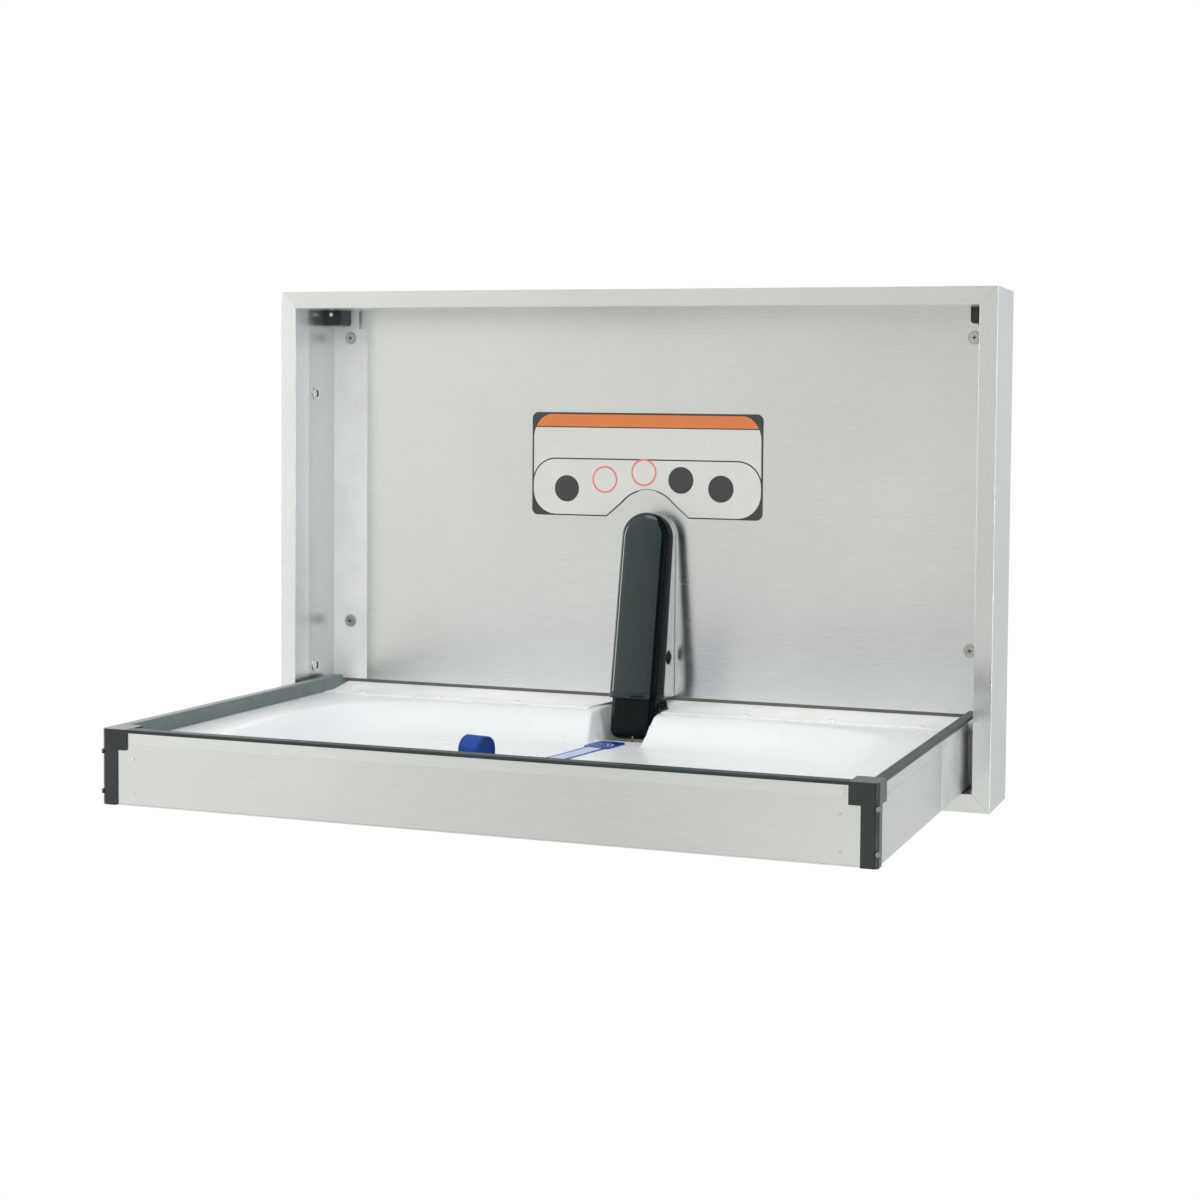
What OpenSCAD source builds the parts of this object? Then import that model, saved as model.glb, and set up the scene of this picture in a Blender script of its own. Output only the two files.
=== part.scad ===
// Baby changing station: a stainless steel wall cabinet with a fold-down bed, shown open.
// The front faces -Y, the wall plane is Y = 0, and X = 0 is the middle of the cabinet.
// Heights are measured from the bottom of the frame, and station() moves the whole
// so that Z = 0 is half way up the frame.

/* [Cabinet] */
// Overall width of the frame
frame_w = 901.7; // [860:0.1:1000]
// Overall height of the frame
frame_h = 584.2; // [575:0.1:640]
// Depth from the wall to the face of the frame
cabinet_d = 88.9; // [87:0.1:96]
// Width of the frame's face
face_w = 20.6; // [18:0.1:24]
// How far the frame's inner return reaches back
return_d = 30; // [20:1:45]
// How far the cabinet's walls reach in behind the return
wall_lap = 18; // [10:1:20]
// Thickness of the steel sheet
sheet_t = 1.2; // [1:0.1:1.4]
// Diameter of the open holes in the side walls
side_hole_d = 10; // [6:1:14]
// Width of the rim round a side hole
rim_w = 2.5; // [1:0.5:4]
// Distance of the side holes from the wall
side_hole_y = 42.5; // [30:0.5:50]
// Height of the lower side holes above the bottom wall
low_hole_rise = 96.6; // [92:0.1:120]
// Distance of the upper side holes below the top wall
high_hole_drop = 104.8; // [60:0.1:160]

/* [Wall screws] */
// Distance of the wall screws from the side walls
screw_edge = 25.05; // [24:0.05:60]
// Height of the lower wall screws above the bottom wall
low_screw_rise = 150.1; // [110:0.1:220]
// Distance of the upper wall screws below the top wall
high_screw_drop = 33.3; // [30:0.1:60]
// Diameter of a wall screw
screw_d = 6; // [4:0.5:7]
// How far a wall screw reaches into the wall
screw_l = 38; // [20:1:60]
// Diameter of a wall screw's head
head_d = 11; // [9:0.5:12]
// Height of a wall screw's head
head_h = 1.8; // [1:0.1:1.9]
// Diameter of a wall screw's washer
washer_d = 16; // [13:0.5:18]

/* [Plate] */
// Width of the notice plate
plate_w = 302; // [200:1:400]
// Height of the notice plate
plate_h = 127; // [100:1:150]
// Thickness of the notice plate
plate_t = 0.6; // [0.4:0.1:1]
// Gap between the top of the strut and the plate's bottom cut-out
plate_gap = 27; // [15:1:40]

/* [Bed] */
// Overall depth from the wall to the front of the open bed
open_d = 452.9; // [430:0.1:465]
// Gap between the bed and the frame on each side
side_gap = 8.75; // [5:0.25:14]
// Gap below the open bed
under_gap = 1.4; // [1.2:0.1:3]
// Distance of the bed's pivots from the wall
pivot_y = 20; // [19:0.5:21]
// Gap between the folded bed and the wall
top_gap = 4; // [4:0.1:5]
// How far the folded bed stands back from the face of the frame
face_setback = 4.9; // [4:0.1:6]
// Gap between the wall and the rear sheet of the open bed
rear_gap = 8; // [8:0.5:12]
// Thickness of the trim and the corner guards
trim_t = 2.5; // [2:0.1:3]
// Width of the trim on top of the sheet
trim_w = 12.5; // [10:0.5:16]
// Depth of the trim's outer lip
lip_h = 3.6; // [3:0.1:6]
// Width of a corner guard's top block
guard_w = 29.5; // [24:0.5:40]
// Height of a corner guard's top block
guard_h = 22; // [16:1:30]
// Width of a corner guard's bar on the front
guard_bar_x = 17.5; // [12:0.5:24]
// Width of a corner guard's bar on the side
guard_bar_y = 14; // [10:0.5:20]

/* [Liner] */
// Thickness of the liner
liner_t = 3; // [2:0.5:4]
// How far the liner's rim lies below the top of the trim
rim_drop = 17; // [16:0.5:20]
// Depth of the dish below the rim
dish_d = 32; // [24:1:34]
// Width of the rim beside the dish
dish_side = 61; // [50:1:120]
// Distance of the dish's rear edge from the wall
dish_rear = 70; // [66:1:90]
// Width of the rim in front of the dish
dish_front = 28; // [20:1:60]
// Run of the dish's sloping wall
dish_run = 52; // [30:1:70]
// Distance of the notch's front from the wall
notch_front = 138; // [125:1:150]
// Width of the notch beside the strut on the right
notch_right = 34.5; // [34:0.5:45]
// Width of the notch beside the strut on the left, at the rim
notch_left = 49; // [40:0.5:60]
// Width of the notch beside the strut on the left, at its floor
notch_foot = 33; // [32:0.5:40]
// Distance of the well's front from the wall
well_front = 86; // [85:1:92]
// Depth of the well under the strut, below the floor of the dish
well_d = 15; // [14:1:18]

/* [Rear rail] */
// Height of the rail's rear edge above its flat band
rail_rise = 5.8; // [4:0.1:6]
// Distance of the rail's rear edge from the wall
rail_rear = 3; // [3:0.1:5]
// Distance of the rail's bend from the wall
rail_bend = 36; // [30:1:40]
// Distance of the rail's front edge from the wall
rail_front = 60; // [50:1:64]
// Distance between the rail's rivets
rivet_pitch = 106; // [80:1:140]

/* [Strut] */
// Distance of the strut from the middle of the cabinet
strut_x = 12; // [0:1:20]
// Height of the strut's upper pivot above the bed's pivots
strut_rise = 204; // [200:1:208]
// Distance of the strut's upper pivot from the wall
strut_y = 21; // [20.5:0.5:22]
// Distance of the strut's foot from the wall
foot_y = 50; // [48:1:51]
// Height of the strut's foot below the bed's pivots
foot_drop = 11; // [10:0.5:12]
// Width of the strut's cover
cover_w = 60; // [60:0.5:62]
// Wall of the strut's cover and sleeve
cover_t = 1.6; // [1.2:0.1:1.6]
// Length of the cover below its upper pivot
cover_l = 193; // [180:1:195]
// Depth of the cover in front of the strut's axis at the top
cover_top_d = 15; // [14:0.5:16]
// Depth of the cover in front of the strut's axis at the bottom
cover_low_d = 23.8; // [22:0.1:24]
// Depth of the cover behind the strut's axis
cover_back_d = 7; // [5:0.5:8]
// Radius of the cover's long edges
cover_r = 7; // [4:0.5:8]
// Width of the sleeve
sleeve_w = 48; // [46:0.5:48]
// Length of the sleeve
sleeve_l = 110; // [90:1:115]
// Diameter of the gas cylinder
gas_d = 15; // [12:0.5:16]
// Diameter of the gas cylinder's rod
rod_d = 8; // [6:0.5:8]
// Length of the gas cylinder
gas_l = 138; // [120:1:140]
// Width of the fixed channel
channel_w = 55.8; // [55:0.1:56]
// Depth of the fixed channel
channel_d = 35; // [34:0.5:36]
// Diameter of the hole in the channel's sides
channel_hole_d = 17.5; // [12:0.5:19]

/* [Strap] */
// Width of the strap
strap_w = 25.4; // [20:0.1:30]
// Thickness of the strap
strap_t = 1.4; // [1:0.1:1.6]
// Height of the raised loop
loop_h = 47; // [30:1:48]
// Depth of the raised loop
loop_d = 28; // [20:1:30]
// Distance of the raised loop from the dish's front wall
loop_gap = 11.2; // [6:0.1:40]

/* [Hidden] */
$fn = 48;

// Colours
steel = [0.80, 0.80, 0.78];
dark_plastic = [0.16, 0.20, 0.20];
trim_grey = [0.32, 0.37, 0.37];
liner_white = [0.93, 0.94, 0.94];
strap_blue = [0.06, 0.29, 0.61];
strap_pale = [0.72, 0.75, 0.88];
copper = [0.72, 0.42, 0.25];

// Overrun of the cuts and the clearance of turning and sliding fits
over = 1;
run_fit = 0.05;
side_clear = 0.4;

// Cabinet: the opening, the box inside the frame and the mitres
open_x = frame_w/2 - face_w;
open_top = frame_h - face_w;
box_x = open_x + sheet_t;
box_low = face_w - sheet_t;
box_top = open_top + sheet_t;
wall_front = cabinet_d - return_d + wall_lap;
mitre = face_w*2;
low_hole_z = box_low + low_hole_rise;
high_hole_z = box_top - high_hole_drop;
screw_x = box_x - screw_edge;
low_screw_z = box_low + low_screw_rise;
high_screw_z = box_top - high_screw_drop;
washer_t = 0.6;
screw_tip = screw_d*1.5;
bumper_w = 25;
bumper_h = 18.5;
bumper_d = 24;
bumper_r = 4;

// Bed: its box, its pivots and its rim
bed_x = open_x - side_gap;
shell_x = bed_x - trim_t;
bed_low = face_w + under_gap;
bed_h = cabinet_d - face_setback - top_gap;
bed_top = bed_low + bed_h;
pivot_z = bed_top - (pivot_y - top_gap);
shell_front = open_d - trim_t;
shell_top = bed_top - trim_t;
trim_rear_share = 0.22;
rim_z = bed_top - rim_drop;
ledge_z = rim_z - liner_t;
ledge_w = 15;
trim_in = bed_x - trim_w;
trim_rear = pivot_y*trim_rear_share;
front_in = open_d - trim_w;
guard_r = 5;
guard_screw_r = 2.6;
guard_screw_h = 1.6;
low_guard_screw = 14;
high_guard_screw = 56;

// Side pivots
hinge_d = 8;
boss_d = 22;
boss_t = 3;
collar_d = 18;
hinge_head_d = 14;
hinge_head_t = 3;
hinge_in = 4;

// Liner
dish_floor = rim_z - dish_d;
well_floor = dish_floor - well_d;
well_left = notch_foot + over*2;
liner_gap = 0.3;
liner_rear = rear_gap + sheet_t + liner_gap;
dish_w = 2*(shell_x - dish_side);
dish_cy = (dish_rear + open_d - dish_front)/2;
dish_ry = (open_d - dish_front - dish_rear)/2;
dish_power = 4.3;
dish_steps = 8;
dish_points = 72;

// Rear rail and its cut beside the strut
cut_left_rear = 33;
cut_right_rear = 18;
cut_left = 59;
cut_right = 34.5;
rail_end_gap = 0.5;
rivet_r = 4;
rivet_h = 1.4;
rivet_line = 48;
rivet_first = 48;

// Strut: the line from its upper pivot to its foot
top_z = pivot_z + strut_rise;
foot_z = pivot_z - foot_drop;
strut_l = norm([foot_y - strut_y, top_z - foot_z]);
strut_tilt = atan2(foot_y - strut_y, top_z - foot_z);
pin_d = 8;
eye_d = 15;
eye_w = 12;
ear_d = 18;
ear_x = 12.5;
ear_t = 2;
pin_half = 26;
boss_in = 15.2;
cover_half = cover_w/2;
cover_in = cover_half - cover_t;
bracket_t = 1.6;
sleeve_half = sleeve_w/2;
sleeve_below = 24;
sleeve_gap = 2.4;
sleeve_back = 7;
sleeve_r = 6;
sleeve_end_r = 12;
rod_l = 112;
gas_start = 12;
bore_start = 32;
foot_pin_d = 6;
arm_in = sleeve_half + side_clear;
arm_t = 1.7;
arm_low = foot_z - foot_pin_d*1.2;
arm_high = foot_z + foot_pin_d*1.2;
arm_top = pivot_z + sheet_t*3;
web_low = well_floor + over*4;

// Fixed channel
channel_low = pivot_z + foot_drop;
channel_straight = 143;
channel_step = channel_low + channel_straight;
channel_lip = 9.5;
channel_hole_y = 20;
channel_hole_rise = 60;
channel_hole_z = pivot_z + channel_hole_rise;
channel_web_t = 3;
channel_gap = 1.8;
web_front = sheet_t + channel_web_t;
flange_rear = sheet_t + channel_gap;
web_inset = 1;
channel_rivet_r = 4;
channel_rivet_h = 1.2;
channel_rivet_shares = [0.12, 0.5, 0.72];

// Plate: it hangs above the strut
plate_r = 8;
plate_low = top_z + cover_half - plate_gap/4;
cut_half = 54;
cut_rise = 33;
cut_shares = [[-1, 0], [-0.55, 0.62], [-0.28, 0.92], [0, 1], [0.28, 0.92], [0.55, 0.62], [1, 0]];

// Strap: it runs from the notch to the front of the dish
pad_l = 40;
pad_w = 34;
pad_t = 1.6;
pad_y = 97;
pad_r = 5;
strap_rivet_r = 4.5;
strap_rivet_h = 1.2;
strap_turn = 10.3;
split_r = 1;
split_h = 4.5;

module station() translate([0, 0, -frame_h/2]) children();

// A box between two corners
module slab(from, to) translate(from) cube(to - from);

// A shape on the right, or its mirror image on the left
module mirrored(side) mirror([side < 0 ? 1 : 0, 0, 0]) children();

// A cylinder along X
module rod_x(r, x0, x1) translate([x0, 0, 0]) rotate([0, 90, 0]) cylinder(r = r, h = x1 - x0);

// A cylinder out of the wall, from one distance to another
module rod_y(r, y0, y1) translate([0, -y0, 0]) rotate([90, 0, 0]) cylinder(r = r, h = y1 - y0);

// Cabinet

// A rectangular ring between two depths, of a width inside an outer rectangle
module ring(inset, w, y0, y1) difference() {
    slab([inset - frame_w/2, -y1, inset], [frame_w/2 - inset, -y0, frame_h - inset]);
    slab([inset + w - frame_w/2, -y1 - over, inset + w],
        [frame_w/2 - inset - w, -y0 + over, frame_h - inset - w]);
}

module frame_ring() {
    ring(0, sheet_t, 0, cabinet_d);
    ring(0, face_w, cabinet_d - sheet_t, cabinet_d);
    ring(face_w - sheet_t, sheet_t, cabinet_d - return_d, cabinet_d);
}

module side_wedge() rotate([90, 0, 0]) linear_extrude(cabinet_d*2, center = true)
    polygon([[frame_w/2, 0], [frame_w/2, frame_h],
        [frame_w/2 - mitre, frame_h - mitre], [frame_w/2 - mitre, mitre]]);

module end_wedge() rotate([90, 0, 0]) linear_extrude(cabinet_d*2, center = true)
    polygon([[-frame_w/2, 0], [frame_w/2, 0],
        [frame_w/2 - mitre, mitre], [mitre - frame_w/2, mitre]]);

module frame_side(side) color(steel) station() mirrored(side) intersection() {
    frame_ring();
    side_wedge();
}

module frame_end(top) color(steel) station()
    translate([0, 0, top ? frame_h : 0]) mirror([0, 0, top ? 1 : 0]) intersection() {
        frame_ring();
        end_wedge();
    }

module back_panel() color(steel) station() difference() {
    slab([-box_x - sheet_t, -sheet_t, box_low - sheet_t], [box_x + sheet_t, 0, box_top + sheet_t]);
    wall_screw_places() rod_y(screw_d/2 + run_fit, -over, sheet_t + over);
}

module side_wall(side) color(steel) station() mirrored(side) difference() {
    slab([box_x, -wall_front, box_low - sheet_t], [box_x + sheet_t, -sheet_t, box_top + sheet_t]);
    side_hole_places() rod_x(side_hole_d/2, -over, sheet_t + over);
    translate([0, -pivot_y, pivot_z]) rod_x(hinge_d/2 + run_fit, box_x - over, box_x + sheet_t + over);
}

module top_wall() color(steel) station()
    slab([-box_x, -wall_front, box_top], [box_x, -sheet_t, box_top + sheet_t]);

module bottom_wall() color(steel) station()
    slab([-box_x, -wall_front, box_low - sheet_t], [box_x, -sheet_t, box_low]);

module side_hole_places() for (z = [low_hole_z, high_hole_z])
    translate([box_x, -side_hole_y, z]) children();

module side_hole_rims() color(steel) station() for (side = [-1, 1]) mirrored(side)
    side_hole_places() difference() {
        rod_x(side_hole_d/2 + rim_w, -sheet_t, 0);
        rod_x(side_hole_d/2, -sheet_t - over, over);
    }

module corner_bumpers() color(dark_plastic) station() for (side = [-1, 1]) mirrored(side)
    intersection() {
        slab([box_x - bumper_w, -sheet_t - bumper_d, box_top - bumper_h], [box_x, -sheet_t, box_top]);
        translate([box_x - bumper_w + bumper_r, 0, box_top - bumper_h + bumper_r]) hull() {
            rod_y(bumper_r, 0, cabinet_d);
            translate([bumper_w, 0, 0]) rod_y(bumper_r, 0, cabinet_d);
            translate([0, 0, bumper_h]) rod_y(bumper_r, 0, cabinet_d);
            translate([bumper_w, 0, bumper_h]) rod_y(bumper_r, 0, cabinet_d);
        }
    }

module wall_screw_places() for (x = [-screw_x, screw_x], z = [low_screw_z, high_screw_z])
    translate([x, 0, z]) children();

module wall_washers() color(steel) station() wall_screw_places() difference() {
    rod_y(washer_d/2, sheet_t, sheet_t + washer_t);
    rod_y(screw_d/2 + run_fit, 0, sheet_t + washer_t + over);
}

// A pan head with a cross recess, a shank and a point in the wall
module wall_screws() color(steel) station() wall_screw_places() difference() {
    union() {
        rod_y(head_d/2, sheet_t + washer_t, sheet_t + washer_t + head_h);
        rod_y(screw_d/2, screw_tip - screw_l, sheet_t + washer_t);
        translate([0, screw_l - screw_tip, 0]) rotate([-90, 0, 0])
            cylinder(r1 = screw_d/2, r2 = 0, h = screw_tip);
    }
    for (turn = [0, 90]) rotate([0, turn, 0])
        slab([-head_d/4, -cabinet_d, -screw_d/10], [head_d/4, -sheet_t - washer_t - head_h/3, screw_d/10]);
}

// The plate's outline has round corners and an arched cut-out over the strut
module plate_outline() difference() {
    hull() for (x = [-1, 1], z = [plate_r, plate_h - plate_r])
        translate([x*(plate_w/2 - plate_r), z]) circle(plate_r);
    translate([strut_x/4, 0])
        polygon(concat([[-cut_half, -over]], [for (s = cut_shares) [s[0]*cut_half, s[1]*cut_rise]],
            [[cut_half, -over]]));
}

module notice_plate() color(liner_white) station() translate([0, -sheet_t, plate_low])
    rotate([90, 0, 0]) linear_extrude(plate_t) plate_outline();

// Side pivots of the bed

module at_pivot() translate([0, -pivot_y, pivot_z]) children();

module hinge_pins() color(steel) station() for (side = [-1, 1]) mirrored(side) at_pivot() {
    rod_x(hinge_d/2, shell_x - sheet_t - hinge_in, box_x + sheet_t);
    rod_x(hinge_head_d/2, box_x + sheet_t, box_x + sheet_t + hinge_head_t);
}

module hinge_collars() color(steel) station() for (side = [-1, 1]) mirrored(side) at_pivot()
    difference() {
        rod_x(collar_d/2, shell_x + boss_t + side_clear, box_x);
        rod_x(hinge_d/2 + run_fit, shell_x, box_x + over);
    }

module hinge_bosses() color(steel) station() for (side = [-1, 1]) mirrored(side) at_pivot()
    difference() {
        rod_x(boss_d/2, shell_x, shell_x + boss_t);
        rod_x(hinge_d/2 + run_fit, shell_x - over, shell_x + boss_t + over);
    }

// Fixed channel and upper pivot of the strut

module at_strut() translate([strut_x, 0, 0]) children();

// The channel's outline from the front: straight below and arched above the pivot
module channel_outline(inset, low) {
    translate([0, top_z]) circle(channel_w/2 - inset, $fn = 96);
    translate([inset - channel_w/2, low]) square([channel_w - 2*inset, top_z - low]);
}

module channel_prism(inset, low, y0, y1) translate([0, -y0, 0]) rotate([90, 0, 0])
    linear_extrude(y1 - y0) channel_outline(inset, low);

// The flanges reach out less round the arch, behind the cover
module flange_depth() rotate([90, 0, 90]) linear_extrude(channel_w, center = true)
    polygon([[0, channel_low], [-channel_d, channel_low], [-channel_d, channel_step],
        [-channel_lip, top_z], [-channel_lip, top_z + channel_w], [0, top_z + channel_w]]);

module strut_channel() color(steel) station() at_strut() difference() {
    union() {
        channel_prism(web_inset, channel_low, sheet_t, web_front);
        intersection() {
            flange_depth();
            difference() {
                channel_prism(0, channel_low, flange_rear, channel_d);
                channel_prism(sheet_t, channel_low - over, flange_rear - over, channel_d + over);
            }
        }
    }
    translate([0, -channel_hole_y, channel_hole_z]) rod_x(channel_hole_d/2, -channel_w, channel_w);
}

module channel_rivets() color(steel) station() at_strut()
    for (share = channel_rivet_shares)
        translate([0, 0, channel_low + share*(top_z - channel_low)])
            rod_y(channel_rivet_r, web_front, web_front + channel_rivet_h);

module at_top_pivot() translate([strut_x, -strut_y, top_z]) children();

module pivot_bracket() color(steel) station() at_top_pivot() difference() {
    union() for (side = [-1, 1]) mirrored(side) {
        rod_x(ear_d/2, ear_x, ear_x + ear_t);
        slab([ear_x, 0, -ear_d/2], [ear_x + ear_t, strut_y - web_front, ear_d/2]);
        slab([0, strut_y - web_front - bracket_t, -ear_d/2], [ear_x, strut_y - web_front, ear_d/2]);
    }
    rod_x(pin_d/2, -cover_w, cover_w);
}

module pivot_pin() color(steel) station() at_top_pivot() rod_x(pin_d/2, -pin_half, pin_half);

// Bed: five sheets, with a ledge under the liner's rim

module bed_bottom() color(steel) station()
    slab([-shell_x, -shell_front, bed_low], [shell_x, -rear_gap, bed_low + sheet_t]);

module bed_front() color(steel) station() {
    slab([-shell_x, -shell_front, bed_low + sheet_t], [shell_x, sheet_t - shell_front, shell_top]);
    slab([ledge_w - shell_x, sheet_t - shell_front, ledge_z - sheet_t],
        [shell_x - ledge_w, ledge_w - shell_front, ledge_z]);
}

module bed_rear() color(steel) station() difference() {
    union() {
        slab([-shell_x + sheet_t, -rear_gap - sheet_t, bed_low + sheet_t],
            [shell_x - sheet_t, -rear_gap, ledge_z]);
        slab([ledge_w - shell_x, -rear_gap - ledge_w, ledge_z - sheet_t],
            [shell_x - ledge_w, -rear_gap - sheet_t, ledge_z]);
    }
    slab([strut_x - notch_left - liner_t - over, -rear_gap - ledge_w - over, ledge_z - sheet_t - over],
        [strut_x + notch_right + liner_t + over, -rear_gap - sheet_t, ledge_z + over]);
}

module bed_side(side) color(steel) station() mirrored(side) difference() {
    union() {
        slab([shell_x - sheet_t, sheet_t - shell_front, bed_low + sheet_t],
            [shell_x, -rear_gap, rim_z]);
        slab([shell_x - sheet_t, sheet_t - shell_front, rim_z], [shell_x, -pivot_y, shell_top]);
        slab([shell_x - ledge_w, sheet_t - shell_front, ledge_z - sheet_t],
            [shell_x - sheet_t, -rear_gap - sheet_t, ledge_z]);
        at_pivot() rod_x(pivot_y - rear_gap, shell_x - sheet_t, shell_x);
    }
    at_pivot() rod_x(hinge_d/2 + run_fit, shell_x - sheet_t - over, shell_x + over);
    at_pivot() rod_x(hinge_d/2 + over, shell_x - sheet_t - hinge_in - over, shell_x - sheet_t);
}

// Liner: a rim, a dish with sloping walls, and a notch and well for the strut

// A ring of points on the dish's outline, drawn in by inset, at height z
function dish_ring(inset, z) = [for (i = [0:dish_points - 1])
    let (a = 360*i/dish_points, c = cos(a), s = sin(a), p = 2/dish_power)
    [(dish_w/2 - inset)*sign(c)*pow(abs(c), p), -dish_cy + (dish_ry - inset)*sign(s)*pow(abs(s), p), z]];

function dish_fall(t) = dish_d*(1 - cos(180*t))/2;

// A solid through rings of the dish's outline, from the top down
module through_rings(rings) {
    n = dish_points;
    last = len(rings) - 1;
    points = [for (r = rings) each r];
    walls = [for (k = [0:last - 1], i = [0:n - 1]) let (j = (i + 1)%n)
        each [[k*n + i, k*n + j, (k + 1)*n + j], [k*n + i, (k + 1)*n + j, (k + 1)*n + i]]];
    caps = [[for (i = [n - 1:-1:0]) i], [for (i = [0:n - 1]) last*n + i]];
    polyhedron(points, concat(walls, caps));
}

module dish(grow, top) through_rings(concat([dish_ring(-grow, top)],
    [for (k = [0:dish_steps]) dish_ring(dish_run*k/dish_steps - grow, rim_z - dish_fall(k/dish_steps) - grow)]));

// The notch's section tapers on the left; grow makes the outer skin
module notch(grow, y0, y1, top) at_strut() translate([0, -y0, 0]) rotate([90, 0, 0])
    linear_extrude(y1 - y0) polygon([[notch_right + grow, top], [-notch_left - grow, top],
        [-notch_left - grow, rim_z], [-notch_foot - grow, dish_floor - grow],
        [notch_right + grow, dish_floor - grow]]);

module well(grow, y0, y1) at_strut()
    slab([-well_left - grow, -y1, well_floor - grow], [notch_right + grow, -y0, rim_z - liner_t/2]);

module bed_liner() color(liner_white) station() difference() {
    union() {
        slab([liner_gap + sheet_t - shell_x, liner_gap + sheet_t - shell_front, ledge_z],
            [shell_x - sheet_t - liner_gap, -liner_rear, rim_z]);
        intersection() {
            dish(liner_t, rim_z - liner_t/2);
            slab([-frame_w, -frame_w, 0], [frame_w, -liner_rear, rim_z]);
        }
        notch(liner_t, liner_rear, notch_front, rim_z);
        well(liner_t, liner_rear, well_front + liner_t);
    }
    dish(0, rim_z + over);
    notch(0, 0, notch_front + over, rim_z + over);
    well(0, 0, well_front);
    slab([-shell_x, -pivot_y - hinge_d/2 - over, 0], [hinge_in + over - shell_x + sheet_t, 0, frame_h]);
    slab([shell_x - sheet_t - hinge_in - over, -pivot_y - hinge_d/2 - over, 0], [shell_x, 0, frame_h]);
}

// Rear rail: a flat band on the liner and a slope up to the wall

module rail_section() rotate([90, 0, 90]) linear_extrude(frame_w, center = true)
    polygon([[-rail_front, rim_z], [-rail_front, rim_z + sheet_t], [-rail_bend, rim_z + sheet_t],
        [-rail_rear, rim_z + sheet_t + rail_rise], [-rail_rear, rim_z + rail_rise], [-rail_bend, rim_z]]);

rail_x = trim_in - rail_end_gap;

module rear_rail(side) color(steel) station() intersection() {
    rail_section();
    rear = side > 0 ? cut_right_rear : cut_left_rear;
    front = side > 0 ? cut_right : cut_left;
    linear_extrude(frame_h) polygon([[side*rail_x, 0], [strut_x + side*rear, 0],
        [strut_x + side*rear, -rail_rear], [strut_x + side*front, -rail_bend],
        [strut_x + side*front, -frame_w], [side*rail_x, -frame_w]]);
}

module rail_rivets() color(steel) station() for (side = [-1, 1])
    for (x = [rail_x - rivet_first : -rivet_pitch : cut_left + strut_x + rivet_first])
        translate([side*x, -rivet_line, rim_z + sheet_t]) difference() {
            cylinder(r = rivet_r, h = rivet_h);
            translate([0, 0, rivet_h/2]) cylinder(r = rivet_r/3, h = rivet_h);
        }

// Trim: a channel over the sheet's top edge
module trim_section() polygon([[0, rim_z], [trim_t, rim_z], [trim_t, bed_top - trim_t],
    [trim_w - trim_t, bed_top - trim_t], [trim_w - trim_t, bed_top - lip_h],
    [trim_w, bed_top - lip_h], [trim_w, bed_top - trim_t/3], [trim_w - trim_t/3, bed_top],
    [trim_t/3, bed_top], [0, bed_top - trim_t/3]]);

module edge_trim_side(side) color(trim_grey) station() mirrored(side) intersection() {
    translate([trim_in, 0, 0]) rotate([90, 0, 0]) linear_extrude(open_d - guard_w) trim_section();
    rotate([90, 0, 90]) linear_extrude(frame_w) polygon([[-open_d, rim_z], [-open_d, bed_top],
        [trim_t*1.6 - pivot_y, bed_top], [-trim_rear, rim_z + trim_t], [-trim_rear, rim_z]]);
}

module edge_trim_front() color(trim_grey) station() translate([0, -front_in, 0])
    rotate([90, 0, -90]) linear_extrude(2*(bed_x - guard_w), center = true)
    trim_section();

// Corner guards: a block on top and a bar down each side, screwed on at the corner

module guard_plan(half_x, deep_y, grow) intersection() {
    translate([bed_x - half_x, -open_d]) square([half_x, deep_y]);
    hull() {
        translate([bed_x - guard_r - grow, guard_r + grow - open_d]) circle(guard_r, $fn = 32);
        translate([0, -open_d + grow]) square([over, open_d]);
        translate([bed_x - over - grow, -open_d/2]) square([over, open_d/2]);
    }
}

module guard_level(half_x, deep_y, z0, z1) translate([0, 0, z0]) linear_extrude(z1 - z0)
    guard_plan(half_x, deep_y, 0);

module corner_guard(side) color(dark_plastic) station() mirrored(side) difference() {
    union() {
        guard_level(guard_w, guard_w, bed_top - guard_h, bed_top);
        guard_level(guard_bar_x, guard_bar_y, bed_low, bed_top - guard_h);
    }
    slab([0, -shell_front, 0], [shell_x, 0, shell_top]);
}

module guard_screws() color(steel) station() for (side = [-1, 1]) mirrored(side)
    for (z = [low_guard_screw, high_guard_screw])
        translate([bed_x - guard_r, guard_r - open_d, bed_low + z]) rotate([0, 0, 45])
            rod_y(guard_screw_r, guard_r, guard_r + guard_screw_h);

// Foot of the strut on the bed: two arms from a plate on the rear sheet

// An arm slopes down from the rear to a round end at the foot pin
module arm_outline() union() {
    polygon([[-rear_gap - sheet_t, arm_low], [-rear_gap - sheet_t, arm_top],
        [-foot_y, arm_high], [-foot_y, arm_low]]);
    translate([-foot_y, foot_z]) circle(foot_z - arm_low);
}

module foot_bracket() color(steel) station() at_strut() difference() {
    union() {
        slab([-arm_in - arm_t, -rear_gap - sheet_t - arm_t, web_low],
            [arm_in + arm_t, -rear_gap - sheet_t, arm_high]);
        for (side = [-1, 1]) mirrored(side) translate([arm_in, 0, 0]) rotate([90, 0, 90])
            linear_extrude(arm_t) arm_outline();
    }
    translate([0, -foot_y, foot_z]) rod_x(foot_pin_d/2, -cover_w, cover_w);
}

module foot_rivets() color(steel) station() at_strut() for (side = [-1, 1]) mirrored(side)
    translate([0, -foot_y, foot_z]) rod_x(foot_pin_d/2, arm_in, arm_in + arm_t);

// Strap: a pad in the notch, the webbing and a raised loop at its end

module along_strap(start) translate([strut_x - pad_w/4, -pad_y, dish_floor]) rotate([0, 0, -strap_turn])
    translate([0, -start, 0]) children();

module strap_pad() color(strap_blue) station() along_strap(0) linear_extrude(pad_t) hull()
    for (x = [-1, 1], y = [pad_r, pad_l - pad_r]) translate([x*(pad_w/2 - pad_r), -y]) circle(pad_r, $fn = 32);

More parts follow.
